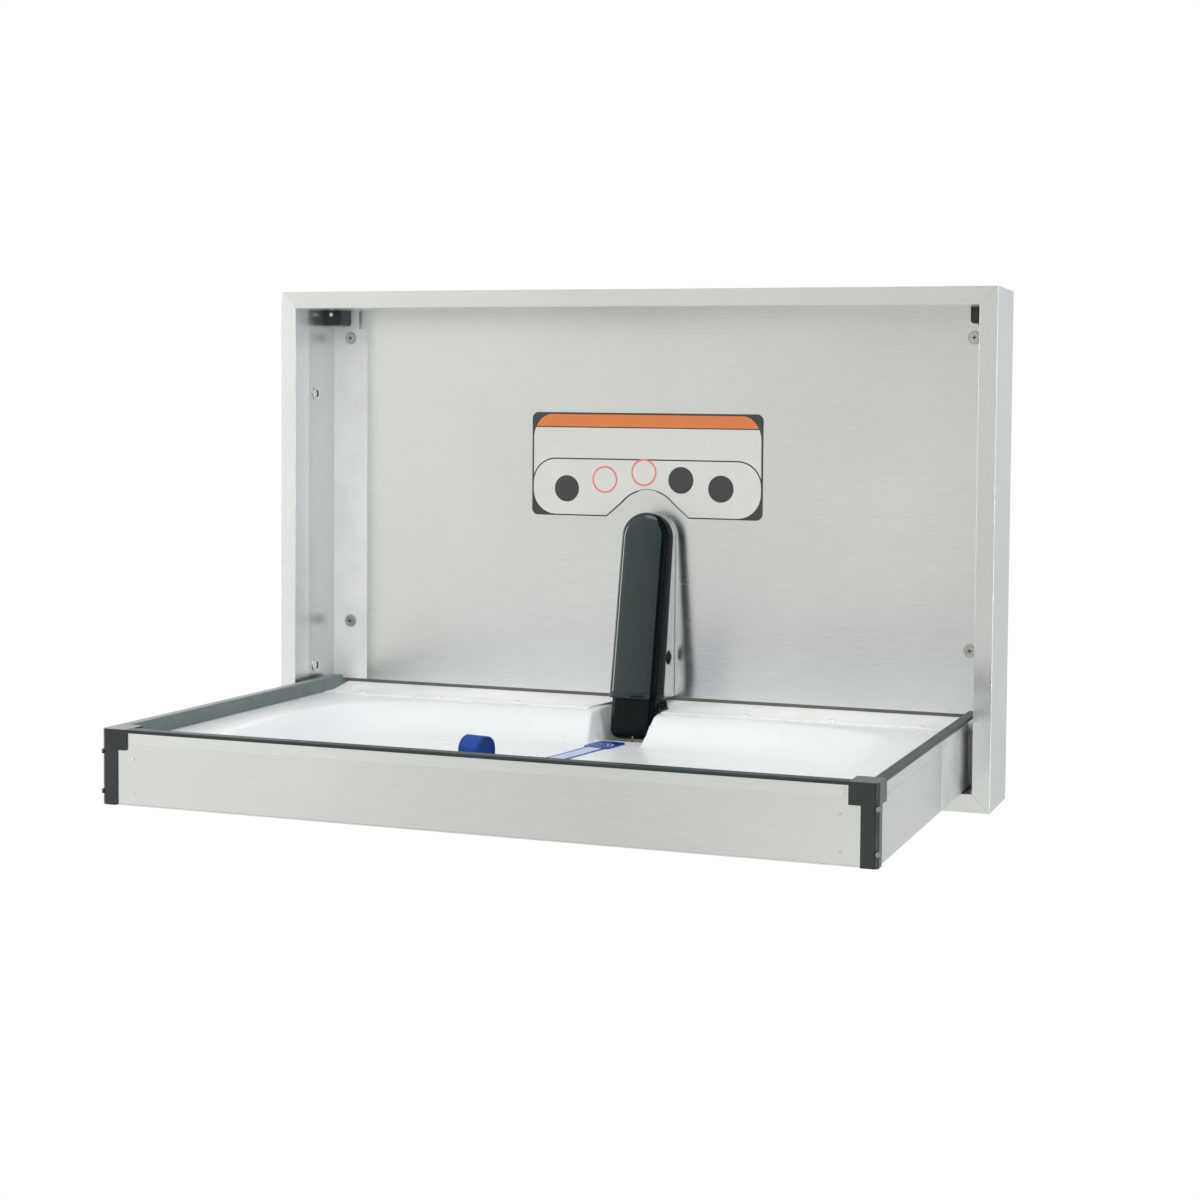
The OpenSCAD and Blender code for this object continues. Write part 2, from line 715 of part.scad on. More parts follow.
module strap_rivet() color(steel) station() along_strap(pad_l/2)
    translate([pad_w/4, 0, pad_t]) cylinder(r = strap_rivet_r, h = strap_rivet_h);

loop_start = (open_d - dish_front - dish_run - loop_gap - pad_y)/cos(strap_turn) - loop_d;

module strap_webbing() color(strap_pale) station() along_strap(0)
    slab([-strap_w/2, -loop_start, 0], [strap_w/2, -pad_l, strap_t]);

module strap_loop() color(strap_blue) station() along_strap(loop_start)
    rotate([90, 0, 90]) linear_extrude(strap_w, center = true) difference() {
        loop_outline(0);
        loop_outline(strap_t);
    }

module loop_outline(inset) hull() {
    translate([inset - loop_d, inset]) square([loop_d - 2*inset, over]);
    translate([-loop_d/2, loop_h - loop_d/2]) circle(loop_d/2 - inset);
}

// Strut, in its own frame: the pivot is the origin, and it hangs down along -Z

module strut_frame() station() at_top_pivot() rotate([-strut_tilt, 0, 0]) children();

// The cover's plan at one height, drawn in by its wall
module cover_plan(front, inset, z) translate([0, 0, z]) linear_extrude(over) hull()
    for (side = [-1, 1]) mirrored(side) {
        translate([cover_half - cover_r, cover_r - front]) circle(cover_r - inset, $fn = 32);
        translate([cover_half - inset - over, cover_back_d - over]) square([over, over]);
    }

module cover_body(inset) intersection() {
    hull() {
        cover_plan(cover_top_d, inset, cover_half);
        cover_plan(cover_low_d, inset, -cover_l);
    }
    rotate([90, 0, 0]) linear_extrude(cabinet_d, center = true) {
        circle(cover_half - inset, $fn = 96);
        translate([inset - cover_half, -cover_l]) square([cover_w - 2*inset, cover_l]);
    }
}

module strut_cover() color(dark_plastic) strut_frame() difference() {
    union() {
        difference() {
            cover_body(0);
            cover_body(cover_t);
            slab([cover_t - cover_half, -cover_low_d*2, -cover_l - over],
                [cover_half - cover_t, cover_back_d*2, -cover_l + over]);
        }
        for (side = [-1, 1]) mirrored(side) rod_x(eye_d/2, boss_in, cover_in + cover_t/2);
    }
    rod_x(pin_d/2 + run_fit, -cover_in, cover_in);
}

module gas_cylinder() color(steel) strut_frame() difference() {
    union() {
        rod_x(eye_d/2, -eye_w/2, eye_w/2);
        translate([0, 0, -gas_start]) cylinder(r = rod_d/2, h = gas_start);
        translate([0, 0, -gas_l - gas_start]) cylinder(r = gas_d/2, h = gas_l);
    }
    rod_x(pin_d/2 + run_fit, -cover_w, cover_w);
    translate([0, 0, -gas_l - gas_start - over]) cylinder(r = rod_d/2 + run_fit, h = gas_l + over - bore_start);
}

// The sleeve's plan follows the cover's front, inside it
module sleeve_plan(front, inset, z) translate([0, 0, z]) linear_extrude(over) hull()
    for (side = [-1, 1]) mirrored(side) {
        translate([sleeve_half - sleeve_r, sleeve_r - front]) circle(sleeve_r - inset, $fn = 32);
        translate([sleeve_half - inset - over, sleeve_back - over]) square([over, over]);
    }

function cover_front(z) = cover_top_d + (cover_low_d - cover_top_d)*(cover_half - z)/(cover_half + cover_l);
function sleeve_front(z) = cover_front(z) - cover_t - sleeve_gap;

sleeve_low = -strut_l - sleeve_below;
sleeve_high = sleeve_low + sleeve_l;

module sleeve_body(inset) hull() {
    sleeve_plan(sleeve_front(sleeve_high), inset, sleeve_high);
    sleeve_plan(sleeve_front(sleeve_low), inset, sleeve_low);
}

// The sleeve is open behind, closed below by a round end and carries the foot pin
module strut_sleeve() color(dark_plastic) strut_frame() difference() {
    intersection() {
        sleeve_body(0);
        rotate([90, 0, 0]) linear_extrude(cabinet_d*2, center = true) hull() {
            for (x = [-1, 1]) translate([x*(sleeve_half - sleeve_end_r), sleeve_low + sleeve_end_r])
                circle(sleeve_end_r, $fn = 32);
            translate([-sleeve_half, sleeve_high]) square([sleeve_w, over]);
        }
    }
    intersection() {
        sleeve_body(cover_t);
        slab([-frame_w, -frame_w, sleeve_low + cover_t*2], [frame_w, frame_w, frame_h]);
    }
    slab([cover_t - sleeve_half, sleeve_back/2, sleeve_low + cover_t*2],
        [sleeve_half - cover_t, sleeve_back + over, sleeve_high + over*2]);
    translate([0, 0, -strut_l]) rod_x(foot_pin_d/2 + run_fit, -cover_w, cover_w);
}

module gas_rod() color(steel) strut_frame() translate([0, 0, -strut_l]) difference() {
    union() {
        rod_x(eye_d/2 - over, -eye_w/2, eye_w/2);
        cylinder(r = rod_d/2, h = rod_l);
    }
    rod_x(foot_pin_d/2 + run_fit, -cover_w, cover_w);
}

// A small copper pin hangs from the sleeve's lower end
module split_pin() color(copper) strut_frame()
    translate([sleeve_half/5, split_r*3 - sleeve_front(sleeve_low), sleeve_low - split_h])
        cylinder(r = split_r, h = split_h);

module foot_pin() color(steel) strut_frame() translate([0, 0, -strut_l])
    rod_x(foot_pin_d/2, -sleeve_half, sleeve_half);

back_panel();
side_wall(-1);  // side_wall_left
side_wall(1);  // side_wall_right
top_wall();
bottom_wall();
frame_side(-1);  // frame_left
frame_side(1);  // frame_right
frame_end(true);  // frame_top
frame_end(false);  // frame_bottom
side_hole_rims();
corner_bumpers();
wall_washers();
wall_screws();
notice_plate();
hinge_pins();
hinge_collars();
strut_channel();
channel_rivets();
pivot_bracket();
pivot_pin();
bed_bottom();
bed_front();
bed_rear();
bed_side(-1);  // bed_side_left
bed_side(1);  // bed_side_right
hinge_bosses();
bed_liner();
rear_rail(-1);  // rear_rail_left
rear_rail(1);  // rear_rail_right
rail_rivets();
edge_trim_front();
edge_trim_side(-1);  // edge_trim_left
edge_trim_side(1);  // edge_trim_right
corner_guard(-1);  // corner_guard_left
corner_guard(1);  // corner_guard_right
guard_screws();
foot_bracket();
foot_rivets();
split_pin();
strap_pad();
strap_rivet();
strap_webbing();
strap_loop();
strut_cover();
gas_cylinder();
strut_sleeve();
gas_rod();
foot_pin();
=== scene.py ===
import math
import bpy
import bmesh
from mathutils import Matrix, Vector


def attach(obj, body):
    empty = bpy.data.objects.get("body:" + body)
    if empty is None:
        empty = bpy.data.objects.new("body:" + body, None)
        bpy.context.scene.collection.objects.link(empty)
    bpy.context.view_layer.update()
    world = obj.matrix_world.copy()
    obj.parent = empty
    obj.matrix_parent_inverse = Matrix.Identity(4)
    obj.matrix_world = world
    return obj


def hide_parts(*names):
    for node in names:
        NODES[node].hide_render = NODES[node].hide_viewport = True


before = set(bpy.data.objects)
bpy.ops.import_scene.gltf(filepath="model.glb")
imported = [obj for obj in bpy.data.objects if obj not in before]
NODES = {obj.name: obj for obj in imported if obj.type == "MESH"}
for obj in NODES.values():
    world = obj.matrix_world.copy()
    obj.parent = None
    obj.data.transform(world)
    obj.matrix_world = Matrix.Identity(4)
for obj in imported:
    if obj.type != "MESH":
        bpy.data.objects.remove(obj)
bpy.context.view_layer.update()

# Sizes are in millimetres: across, out of the wall and up from the frame's lower edge.
HALF_H = 292.1


def at(x, out, up):
    """A point in metres in the row frame."""
    return Vector((x / 1000, -out / 1000, (up - HALF_H) / 1000))


# Materials

def linear(code):
    """A linear colour from an sRGB hex code."""
    parts = [int(code[i:i + 2], 16) / 255 for i in (1, 3, 5)]
    return [c / 12.92 if c <= 0.04045 else ((c + 0.055) / 1.055) ** 2.4 for c in parts] + [1]


def add(tree, kind, inputs=None, **settings):
    """Adds a node; an input is a value, or a socket to link from."""
    made = tree.nodes.new(kind)
    for name, value in settings.items():
        setattr(made, name, value)
    for name, value in (inputs or {}).items():
        if isinstance(value, bpy.types.NodeSocket):
            tree.links.new(value, made.inputs[name])
        else:
            made.inputs[name].default_value = value
    return made


def blank(name):
    """A new material's tree and its surface shader."""
    made = bpy.data.materials.new(name)
    made.use_nodes = True
    tree = made.node_tree
    return made, tree, tree.nodes["Principled BSDF"]


def noise(tree, vector, per_metre, detail=2, stretch=(1, 1, 1)):
    """Noise whose grain is 1/per_metre long, drawn out along an axis."""
    place = add(tree, "ShaderNodeMapping", {"Vector": vector, "Scale": stretch})
    return add(tree, "ShaderNodeTexNoise",
               {"Vector": place.outputs["Vector"], "Scale": per_metre, "Detail": detail}).outputs["Fac"]


def between(tree, factor, low, high):
    """A factor spread from low to high."""
    return add(tree, "ShaderNodeMapRange",
               {"Value": factor, "From Min": 0.2, "From Max": 0.8, "To Min": low, "To Max": high},
               interpolation_type="SMOOTHSTEP").outputs["Result"]


def tint(tree, factor, first, second):
    """A colour between two codes."""
    mixed = add(tree, "ShaderNodeMix", {"Factor": factor}, data_type="RGBA")
    mixed.inputs[6].default_value = linear(first)
    mixed.inputs[7].default_value = linear(second)
    return mixed.outputs[2]


# Grains to the metre, each about 25 mm long and 0.3 mm wide, and cloudy patches to the metre
GRAIN, CLOUD = 40, 5
GRAINS = {"x": (1, 90, 90), "y": (90, 1, 90), "z": (90, 90, 1)}
AXES = {"x": (1, 0, 0), "y": (0, 1, 0), "z": (0, 0, 1)}


def brushed(name, axis, light="#e7e9e7", dark="#dcdedc", rough=(0.2, 0.28)):
    """Satin stainless sheet with its grain along an axis."""
    made, tree, shader = blank(name)
    where = add(tree, "ShaderNodeTexCoord").outputs["Object"]
    fine = noise(tree, where, GRAIN, 3, GRAINS[axis])
    cloud = noise(tree, where, CLOUD, 2)
    shade = add(tree, "ShaderNodeMath", {0: fine, 1: cloud}, operation="ADD")
    shade = add(tree, "ShaderNodeMath", {0: shade.outputs[0], 1: 0.5}, operation="MULTIPLY").outputs[0]
    tree.links.new(tint(tree, between(tree, shade, 0, 1), dark, light), shader.inputs["Base Color"])
    tree.links.new(between(tree, fine, *rough), shader.inputs["Roughness"])
    grain = add(tree, "ShaderNodeVectorTransform", {"Vector": AXES[axis]},
                vector_type="VECTOR", convert_from="OBJECT", convert_to="WORLD")
    across = add(tree, "ShaderNodeVectorMath",
                 {0: grain.outputs[0], 1: add(tree, "ShaderNodeNewGeometry").outputs["Normal"]},
                 operation="CROSS_PRODUCT")
    tree.links.new(across.outputs[0], shader.inputs["Tangent"])
    bump = add(tree, "ShaderNodeBump", {"Height": fine, "Strength": 0.12, "Distance": 0.0002})
    tree.links.new(bump.outputs["Normal"], shader.inputs["Normal"])
    shader.inputs["Metallic"].default_value = 1
    shader.inputs["Anisotropic"].default_value = 0.8
    return made


def plain(name, light, dark, rough, per_metre=30, metal=0, bump=0, bump_scale=1500, shine=0.5):
    """A moulded or turned surface, slightly uneven in colour and gloss."""
    made, tree, shader = blank(name)
    where = add(tree, "ShaderNodeTexCoord").outputs["Object"]
    cloud = noise(tree, where, per_metre, 3)
    tree.links.new(tint(tree, between(tree, cloud, 0, 1), dark, light), shader.inputs["Base Color"])
    tree.links.new(between(tree, cloud, *rough), shader.inputs["Roughness"])
    if bump:
        pits = noise(tree, where, bump_scale, 1)
        raised = add(tree, "ShaderNodeBump", {"Height": pits, "Strength": bump, "Distance": 0.0001})
        tree.links.new(raised.outputs["Normal"], shader.inputs["Normal"])
    shader.inputs["Metallic"].default_value = metal
    shader.inputs["Specular IOR Level"].default_value = shine
    return made


# Satin stainless sheet, ground along each piece: fine streaks, and highlights drawn out across them.
# The front fold's lighter copy is a painted highlight, and the side walls' darker copy is painted shade.
STEEL_X = brushed("stainless_sheet_grain_x", "x")
STEEL_FOLD_LIT = brushed("stainless_fold_painted_highlight_grain_x", "x", "#eceeec", "#e1e3e1", (0.22, 0.31))
STEEL_Y = brushed("stainless_sheet_grain_y", "y")
STEEL_Z = brushed("stainless_sheet_grain_z", "z")
STEEL_WALL_SHADED = brushed("stainless_wall_painted_shade_grain_z", "z", "#d2d4d2", "#c8cac8")
# Turned and stamped steel: small sharp highlights on screws, pins and rims, softer ones on washers
CHROME = plain("bright_steel", "#dededc", "#c8c8c6", (0.12, 0.22), metal=1)
DULL_STEEL = plain("dull_steel", "#d6d6d2", "#b9b9b5", (0.3, 0.45), metal=1)
# The guards' screws: darker metal with a soft highlight
DARK_STEEL = plain("blackened_steel", "#4b504e", "#3d4240", (0.25, 0.35), metal=1)
# Steel that mirrors nothing sharp: the rail's rivets, the pale rails and flanges, the sides' rear parts;
# the rails and flanges are whitened as a painted highlight
SATIN = plain("satin_steel", "#fbfcfa", "#f0f1ef", (0.42, 0.52), metal=1)
BRIGHT = plain("painted_highlight_steel", "#ffffff", "#f8f9f7", (0.7, 0.8), metal=1)
WORN = plain("worn_steel", "#e0e1dd", "#d3d4d0", (0.45, 0.55), metal=1)
# Moulded plastic of the strut: deep gloss in front with a faint ripple, and a darker copy that hardly
# mirrors for the sides and the right edge's round, as painted shade
COVER = plain("dark_gloss_moulding", "#12282a", "#0e2123", (0.1, 0.14), bump=0.03, bump_scale=250,
              shine=0.62)
SLEEVE = plain("dark_gloss_sleeve", "#0c1617", "#091213", (0.12, 0.18), bump=0.03, bump_scale=250,
               shine=0.12)
SHADE = plain("moulding_side_painted_shade", "#081011", "#060d0e", (0.2, 0.28), shine=0.03)
# Dark guards with a clear highlight, dark trims with a soft one, and a paler copy for the left trim, as
# painted light
GUARD = plain("dark_satin_moulding", "#252e2e", "#1d2424", (0.14, 0.2), bump=0.05)
TRIM = plain("grey_green_extrusion", "#333e3e", "#2b3535", (0.32, 0.42), bump=0.05, shine=0.22)
TRIM_LIT = plain("lit_grey_extrusion", "#677372", "#5e6a69", (0.25, 0.35), bump=0.05)
# The moulded dish: white, with broad soft highlights on its slopes
LINER = plain("white_gloss_moulding", "#e8ebec", "#e4e7e8", (0.26, 0.3), per_metre=8, bump=0.04,
              bump_scale=400)
# A matt grey strip of painted shade behind the bed, and the plate: a soft gloss on its red and dark print,
# the rest nearly matt
SHADE_STRIP = plain("grey_shade_strip", "#6c706c", "#626662", (0.5, 0.6), shine=0.2)
RED = plain("plate_red_print", "#e67a76", "#dd6f6b", (0.3, 0.4))
BORDER = plain("plate_dark_border", "#3a3d3d", "#333636", (0.3, 0.4))
PALE = plain("plate_pale_print", "#d2d2ce", "#cdcdc9", (0.5, 0.6), shine=0.3)
ORANGE = plain("plate_orange_print", "#da7f49", "#d57945", (0.5, 0.6), shine=0.3)
# The strap's glossy pad, warm copper wire, and the enamel of the gas cylinder, whose black also paints the
# shade in the wall screws' recesses
BLUE = plain("blue_gloss_moulding", "#06429a", "#053a88", (0.2, 0.3), shine=0.25)
COPPER = plain("copper_wire", "#c88a5e", "#a9653c", (0.2, 0.35), metal=1)
BLACK = plain("black_enamel_and_recess_shade", "#141616", "#0e1010", (0.2, 0.3))


def dress(material, *names):
    """A CAD node's material slots."""
    for name in names:
        mesh = NODES[name].data
        mesh.materials.clear()
        mesh.materials.append(material)


def soften(width, *names):
    """Joins a CAD node's faces and rounds its edges; width is in millimetres."""
    for name in names:
        piece = NODES[name]
        weld = piece.modifiers.new("weld", "WELD")
        weld.merge_threshold = 0.00002
        flat = piece.modifiers.new("flat", "DECIMATE")
        flat.decimate_type = "DISSOLVE"
        flat.angle_limit = math.radians(1)
        edge = piece.modifiers.new("edge", "BEVEL")
        edge.width = width / 1000
        edge.segments = 2
        edge.limit_method = "ANGLE"
        edge.angle_limit = math.radians(40)
        edge.harden_normals = True


dress(STEEL_X, "back_panel", "top_wall", "bottom_wall", "frame_top", "frame_bottom",
      "bed_bottom", "bed_front", "bed_rear")
# The rails in whitened steel: a painted highlight
dress(BRIGHT, "rear_rail_left", "rear_rail_right")
dress(SATIN, "rail_rivets")
# The side walls in a darker copy of the sheet steel: painted shade
dress(STEEL_WALL_SHADED, "side_wall_left", "side_wall_right")
dress(STEEL_Z, "frame_left", "frame_right", "strut_channel",
      "foot_bracket", "pivot_bracket")
dress(STEEL_Y, "bed_side_left", "bed_side_right")
dress(DULL_STEEL, "wall_washers")
dress(DARK_STEEL, "guard_screws")
dress(CHROME, "side_hole_rims", "wall_screws", "hinge_pins", "hinge_collars",
      "channel_rivets", "pivot_pin", "hinge_bosses", "foot_rivets",
      "strap_rivet", "foot_pin", "gas_rod")
dress(GUARD, "corner_bumpers", "corner_guard_left", "corner_guard_right")
dress(TRIM, "edge_trim_front", "edge_trim_right")
# The left trim in a paler copy: painted light
dress(TRIM_LIT, "edge_trim_left")
dress(BLACK, "gas_cylinder")
dress(BLUE, "strap_pad")
soften(0.5, "frame_left", "frame_right", "frame_top", "frame_bottom", "bed_front",
       "bed_side_left", "bed_side_right", "bed_bottom", "rear_rail_left", "rear_rail_right")
soften(0.7, "edge_trim_front", "edge_trim_left", "edge_trim_right",
       "corner_guard_left", "corner_guard_right")


# Pieces

def piece(name, points, faces, material, body, stands_for=(), looks_to=None, angle=35):
    """A mesh piece on a body from points in metres; looks_to is the way an open skin faces as a whole."""
    shape = bmesh.new()
    corners = [shape.verts.new(p) for p in points]
    for face in faces:
        shape.faces.new([corners[i] for i in face])
    bmesh.ops.remove_doubles(shape, verts=shape.verts, dist=1e-6)
    bmesh.ops.dissolve_degenerate(shape, edges=shape.edges, dist=1e-6)
    bmesh.ops.recalc_face_normals(shape, faces=shape.faces)
    if looks_to is not None:
        total = sum((f.normal * f.calc_area() for f in shape.faces), Vector())
        if total.dot(Vector(looks_to)) < 0:
            bmesh.ops.reverse_faces(shape, faces=shape.faces)
    mesh = bpy.data.meshes.new(name)
    shape.to_mesh(mesh)
    shape.free()
    mesh.materials.append(material)
    mesh.shade_smooth()
    mesh.set_sharp_from_angle(angle=math.radians(angle))
    made = bpy.data.objects.new(name, mesh)
    bpy.context.scene.collection.objects.link(made)
    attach(made, body)
    if stands_for:
        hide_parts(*stands_for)
    return made


def thicken(made, millimetres):
    """Gives a skin a wall on its inner side."""
    wall = made.modifiers.new("wall", "SOLIDIFY")
    wall.thickness = millimetres / 1000
    wall.offset = -1


def grid_faces(rows, columns):
    """Quads over a grid of points that is stored row by row."""
    return [(r * columns + c, r * columns + c + 1, (r + 1) * columns + c + 1, (r + 1) * columns + c)
            for r in range(rows - 1) for c in range(columns - 1)]


def steps(*stops):
    """Positions from stop to stop; stops are numbers with the spacing between them."""
    places = []
    for start, spacing, end in zip(stops[0::2], stops[1::2], stops[2::2]):
        count = max(1, round((end - start) / spacing))
        places += [start + (end - start) * i / count for i in range(count)]
    return places + [stops[-1]]


def ease(t):
    """A smooth step from 0 to 1."""
    t = min(1, max(0, t))
    return t * t * (3 - 2 * t)


# Heights of the liner's rim, its floor and its well, and the strut's place across
RIM, FLOOR, WELL = 85, 53, 38
STRUT_X = 12
# The dish: half its width and depth, its middle out of the wall, the run of its slopes, its roundness
DISH = (358, 177.45, 247.45, 52, 4.3)
# How far the notch and the well reach to the strut's left and right, and out of the wall
NOTCH_LEFT, NOTCH_RIGHT, NOTCH_END = 49, 34.5, 138
WELL_LEFT, WELL_END = 38, 86.5
# The share of the well's depth from which it lies below the notch
WELL_SHARE = 0.68


def dish_height(x, out):
    """The dish's surface: a rounded oblong whose wall falls along a wave."""
    half_x, half_y, middle, run, power = DISH

    def beyond(inset):
        across = abs(x / (half_x - inset)) ** power
        away = abs((out - middle) / (half_y - inset)) ** power
        return across + away > 1

    if beyond(0):
        return RIM
    if not beyond(run):
        return FLOOR
    low, high = 0, run
    for _ in range(22):
        inset = (low + high) / 2
        low, high = (low, inset) if beyond(inset) else (inset, high)
    return RIM - (RIM - FLOOR) * (1 - math.cos(math.pi * low / run)) / 2


def liner_height(x, out):
    """The liner's top surface: the dish, and the notch and well for the strut."""
    height = dish_height(x, out)
    right = ease((STRUT_X + NOTCH_RIGHT - x) / 4)
    notch = min(ease((x - STRUT_X + NOTCH_LEFT) / 16), right)
    if out < NOTCH_END:
        height = min(height, RIM - (RIM - FLOOR) * notch)
    well = min(ease((x - STRUT_X + WELL_LEFT) / 3), right, ease((WELL_END - out) / 4))
    return min(height, RIM - (RIM - WELL) * well) if well > WELL_SHARE else height


def make_liner():
    """The dish's skin, left out at its rear corners, where the hinge bosses are."""
    across = steps(-417.5, 6, -360, 3, -240, 6, -38, 1.5, -20, 4, 41, 1, 48, 6, 240, 3, 360, 6, 417.5)
    away = steps(4.5, 3, 80, 1.5, 88, 3, 448.9)
    columns = len(across)

    def at_boss(face):
        return away[face[0] // columns] < 25 and max(abs(across[i % columns]) for i in face) > 412.8

    points = [at(x, out, liner_height(x, out)) for out in away for x in across]
    faces = [face for face in grid_faces(len(away), columns) if not at_boss(face)]
    made = piece("dish_liner", points, faces, LINER, "bed", ["bed_liner"], (0, 0, 1), 60)
    thicken(made, 2.9)


make_liner()

# The strut's upper pivot out and up, and where its foot is from there
PIVOT_OUT, PIVOT_UP = 21, 290
FOOT_OUT, FOOT_DOWN = 29, 215
TILT = math.atan2(FOOT_OUT, FOOT_DOWN)
STRUT_L = math.hypot(FOOT_OUT, FOOT_DOWN)
LOW = -STRUT_L - 24
# Half the cover's width, its length below the pivot, and its wall
COVER_HALF, COVER_LEN, COVER_WALL = 30, 193, 1.2
# How far the cover's front stands out at its top, and how much further at its lower end
COVER_OUT, COVER_MORE = 15, 8.8
# Half the sleeve's width, its lower corners' radius, its reach above the foot, and its wall
SLEEVE_HALF, SLEEVE_CORNER, SLEEVE_UP, SLEEVE_WALL = 27.6, 12, 86, 1.5
# How far the sleeve's front lies behind the cover's
SLEEVE_BEHIND = 5


def on_strut(x, out, up):
    """A point in metres from the strut's own frame, whose origin is the upper pivot."""
    y = -out * math.cos(TILT) + up * math.sin(TILT)
    z = out * math.sin(TILT) + up * math.cos(TILT)
    return at(STRUT_X + x, PIVOT_OUT - y, PIVOT_UP + z)


def cover_front(up):
    """How far the cover's front stands out at a height."""
    return COVER_OUT + COVER_MORE * (COVER_HALF - up) / (COVER_HALF + COVER_LEN)


def shell(name, line, front, rings, edge, crown, body, stands_for, material):
    """A moulded shell, open behind: an oval edge, as wide and deep as edge says, runs along an
    outline up, over and down.

    line(inset) gives the outline's points from one end to the other, rings the inset and the
    distance out of the skin's bands behind the edge."""
    bands = [(inset, lambda up, d=d: d) for inset, d in rings]
    wide, deep = edge
    turn = 10
    for i in range(turn + 1):
        a = math.pi / 2 * i / turn
        bands.append((wide * (1 - math.cos(a)), lambda up, s=math.sin(a): front(up) - deep + deep * s))
    count = len(line(0))
    points = [on_strut(x, depth(up), up) for inset, depth in bands for x, up in line(inset)]
    faces = grid_faces(len(bands), count)
    inner = line(wide)
    half = count // 2
    across = 8
    first = len(points)
    for i in range(half + 1):
        (x0, up), (x1, _) = inner[i], inner[count - 1 - i]
        for j in range(across + 1):
            share = j / across
            bulge = crown * (1 - (2 * share - 1) ** 2) * min(1, abs(x1 - x0) / 20)
            points.append(on_strut(x0 + (x1 - x0) * share, front(up) + bulge, up))
    faces += [tuple(first + i for i in f) for f in grid_faces(half + 1, across + 1)]
    return piece(name, points, faces, material, body, stands_for, (0, -1, 0), 50)


def cover_line(inset):
    """The cover's outline from its lower left end over the arch."""
    r = COVER_HALF - inset
    side = [(-r, -COVER_LEN + COVER_LEN * i / 24) for i in range(24)]
    arch = [(-r * math.cos(math.pi * i / 48), r * math.sin(math.pi * i / 48)) for i in range(49)]
    return side + arch + [(-x, up) for x, up in reversed(side)]


def darken_sides(made):
    """Gives a shell's sides and the round of its right edge the darker, duller side material: painted
    shade.
    """
    right_edge, left_side = 0.3, -0.93
    made.data.materials.append(SHADE)
    for face in made.data.polygons:
        if face.normal.x > right_edge or face.normal.x < left_side:
            face.material_index = 1


cover = shell("strut_cover_shell", cover_line, cover_front, [(0, -7), (0, 2)], (16, 8), 0.5,
              "strut_upper", ["strut_cover"], COVER)
darken_sides(cover)
thicken(cover, COVER_WALL)


def sleeve_line(inset):
    """The sleeve's outline from its upper left end round its lower end."""
    half, corner = SLEEVE_HALF - inset, SLEEVE_CORNER - inset
    low, high = LOW + inset, -STRUT_L + SLEEVE_UP
    side = [(-half, high + (low + corner - high) * i / 16) for i in range(16)]
    round_end = [(-half + corner - corner * math.cos(math.pi / 2 * i / 10),
                  low + corner - corner * math.sin(math.pi / 2 * i / 10)) for i in range(11)]
    bottom = [(-half + corner + (half - corner) * i / 4, low) for i in range(1, 4)]
    left = side + round_end + bottom
    return left + [(0, low)] + [(-x, up) for x, up in reversed(left)]


def sleeve_front(up):
    """How far the sleeve's front stands out at a height."""
    return cover_front(up) - SLEEVE_BEHIND


sleeve = shell("strut_sleeve_shell", sleeve_line, sleeve_front, [(3.6, -7), (3.6, 8.9), (0, 9.3)],
               (11, 7), 0.4, "strut_lower", ["strut_sleeve"], SLEEVE)
darken_sides(sleeve)
thicken(sleeve, SLEEVE_WALL)


# The plate: a dark border, and printed fields a hair above it
PLATE_OUT = 1.2
INK = PLATE_OUT + 0.6


def oval(x, up, wide, high, start, end, count):
    """Points round a centre, from one angle to another in degrees."""
    turns = [math.radians(start + (end - start) * i / count) for i in range(count + 1)]
    return [(x + wide * math.cos(turn), up + high * math.sin(turn)) for turn in turns]


def arc(x, up, r, start, end, count):
    """An oval that is as wide as it is high."""
    return oval(x, up, r, r, start, end, count)


def cut_out(grow):
    """The arched cut-out over the strut, from its right end to its left."""
    middle, foot, low = 3, 54, 313.25 + grow
    return [(middle + foot, low)] + arc(middle, 303.25, 43 + grow, 40, 140, 24) + [(middle - foot, low)]


def rounded(x0, x1, z0, z1, r):
    """A rectangle with round corners, from its lower right corner on."""
    corners = ((x1 - r, z0 + r, 270), (x1 - r, z1 - r, 0), (x0 + r, z1 - r, 90), (x0 + r, z0 + r, 180))
    return [point for x, z, start in corners for point in arc(x, z, r, start, start + 90, 8)]


def print_on(name, outlines, out0, out1, material, stands_for=()):
    """Flat fields on the plate, from one distance from the wall to another."""
    points, faces = [], []
    for line in outlines:
        first, n = len(points), len(line)
        points += [at(x, out0, up) for x, up in line] + [at(x, out1, up) for x, up in line]
        faces.append(tuple(first + n + i for i in range(n)))
        faces.append(tuple(first + i for i in reversed(range(n))))
        faces += [(first + i, first + (i + 1) % n, first + n + (i + 1) % n, first + n + i)
                  for i in range(n)]
    return piece(name, points, faces, material, "cabinet", stands_for, None, 30)


def with_cut(line, grow):
    """An outline whose lower edge is broken by the cut-out."""
    return line + cut_out(grow)[::-1]


def across_plate(half, low, high):
    """The part between two heights of a field with oval upper corners at +-half."""
    wide, tall, centre = 24, 30, 408

    def reach(up):
        return half - wide + wide * math.sqrt(max(0, 1 - (max(0, up - centre) / tall) ** 2))

    corner = [(x, up) for x, up in oval(half - wide, centre, wide, tall, 0, 90, 12) if low < up < high]
    line = [(reach(low), low)] + corner + [(reach(high), high)]
    return line + [(-x, up) for x, up in line[::-1]]


